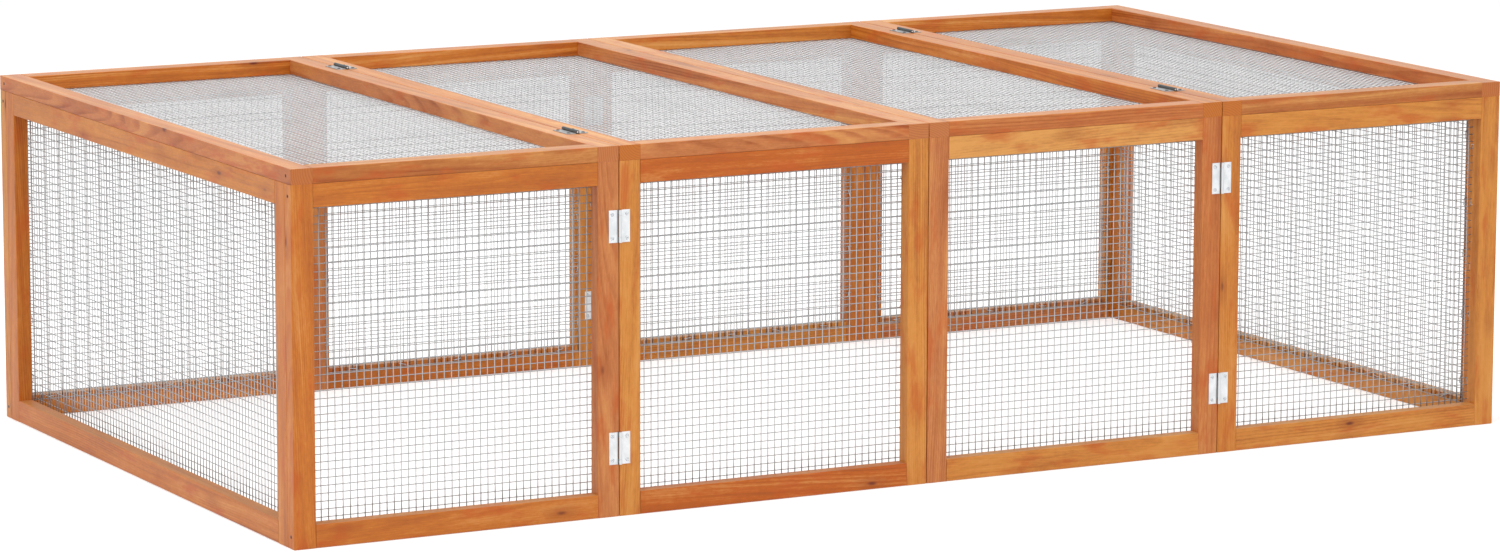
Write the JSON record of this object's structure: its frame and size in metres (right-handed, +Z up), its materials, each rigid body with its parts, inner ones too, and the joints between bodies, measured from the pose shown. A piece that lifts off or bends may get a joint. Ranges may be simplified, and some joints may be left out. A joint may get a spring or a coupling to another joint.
{
  "type": "outdoor rabbit run",
  "caption": "Long low bottomless timber run for rabbits: framed wire-mesh walls, ends and lids, with hinged outer lids and hinged outer wall panels.",
  "frame": {"origin": "centre of the base, on the ground", "axes": "+X along the length, to the right seen from the front; the front faces -Y; +Z up"},
  "size_m": [1.815, 1.0096, 0.4848],
  "materials": {
    "stained_fir": "satin",
    "wire_mesh": "satin",
    "zinc_hinges": "satin",
    "fixings": "satin",
    "dowel_wood": "matte"
  },
  "bodies": {
    "fixed_run": {"front_panel_2_stiles": "stained_fir", "front_panel_2_rails": "stained_fir", "front_panel_2_mesh": "wire_mesh", "front_panel_3_stiles": "stained_fir", "front_panel_3_rails": "stained_fir", "front_panel_3_mesh": "wire_mesh", "back_panel_2_stiles": "stained_fir", "back_panel_2_rails": "stained_fir", "back_panel_2_mesh": "wire_mesh", "back_panel_3_stiles": "stained_fir", "back_panel_3_rails": "stained_fir", "back_panel_3_mesh": "wire_mesh", "left_end_stiles": "stained_fir", "left_end_rails": "stained_fir", "left_end_mesh": "wire_mesh", "right_end_stiles": "stained_fir", "right_end_rails": "stained_fir", "right_end_mesh": "wire_mesh", "lid_2_stiles": "stained_fir", "lid_2_rails": "stained_fir", "lid_2_mesh": "wire_mesh", "lid_3_stiles": "stained_fir", "lid_3_rails": "stained_fir", "lid_3_mesh": "wire_mesh", "wall_hinge_fixed_leaves": "zinc_hinges", "lid_hinge_fixed_leaves": "zinc_hinges", "centre_hinge_leaves": "zinc_hinges", "hinge_pins": "zinc_hinges", "fixed_run_fixings": "fixings", "corner_dowels": "dowel_wood"},
    "front_panel_1": {"front_panel_1_stiles": "stained_fir", "front_panel_1_rails": "stained_fir", "front_panel_1_mesh": "wire_mesh", "front_panel_1_hinge_leaves": "zinc_hinges", "front_panel_1_fixings": "fixings"},
    "front_panel_4": {"front_panel_4_stiles": "stained_fir", "front_panel_4_rails": "stained_fir", "front_panel_4_mesh": "wire_mesh", "front_panel_4_hinge_leaves": "zinc_hinges", "front_panel_4_fixings": "fixings"},
    "back_panel_1": {"back_panel_1_stiles": "stained_fir", "back_panel_1_rails": "stained_fir", "back_panel_1_mesh": "wire_mesh", "back_panel_1_hinge_leaves": "zinc_hinges", "back_panel_1_fixings": "fixings"},
    "back_panel_4": {"back_panel_4_stiles": "stained_fir", "back_panel_4_rails": "stained_fir", "back_panel_4_mesh": "wire_mesh", "back_panel_4_hinge_leaves": "zinc_hinges", "back_panel_4_fixings": "fixings"},
    "lid_1": {"lid_1_stiles": "stained_fir", "lid_1_rails": "stained_fir", "lid_1_mesh": "wire_mesh", "lid_1_hinge_leaves": "zinc_hinges", "lid_1_fixings": "fixings"},
    "lid_4": {"lid_4_stiles": "stained_fir", "lid_4_rails": "stained_fir", "lid_4_mesh": "wire_mesh", "lid_4_hinge_leaves": "zinc_hinges", "lid_4_fixings": "fixings"}
  },
  "joints": [
    {"name": "lid_1_hinge", "type": "hinge", "parent": "fixed_run", "child": "lid_1", "pos_m": [-0.45375, 0, 0.4825], "axis": [0, 1, 0], "range_deg": [0, 180]},
    {"name": "lid_4_hinge", "type": "hinge", "parent": "fixed_run", "child": "lid_4", "pos_m": [0.45375, 0, 0.4825], "axis": [0, -1, 0], "range_deg": [0, 180]},
    {"name": "front_panel_1_hinge", "type": "hinge", "parent": "fixed_run", "child": "front_panel_1", "pos_m": [-0.45375, -0.5025, 0.23], "axis": [0, 0, 1], "range_deg": [0, 180]},
    {"name": "front_panel_4_hinge", "type": "hinge", "parent": "fixed_run", "child": "front_panel_4", "pos_m": [0.45375, -0.5025, 0.23], "axis": [0, 0, -1], "range_deg": [0, 180]},
    {"name": "back_panel_1_hinge", "type": "hinge", "parent": "fixed_run", "child": "back_panel_1", "pos_m": [-0.45375, 0.5025, 0.23], "axis": [0, 0, -1], "range_deg": [0, 180]},
    {"name": "back_panel_4_hinge", "type": "hinge", "parent": "fixed_run", "child": "back_panel_4", "pos_m": [0.45375, 0.5025, 0.23], "axis": [0, 0, 1], "range_deg": [0, 180]}
  ]
}
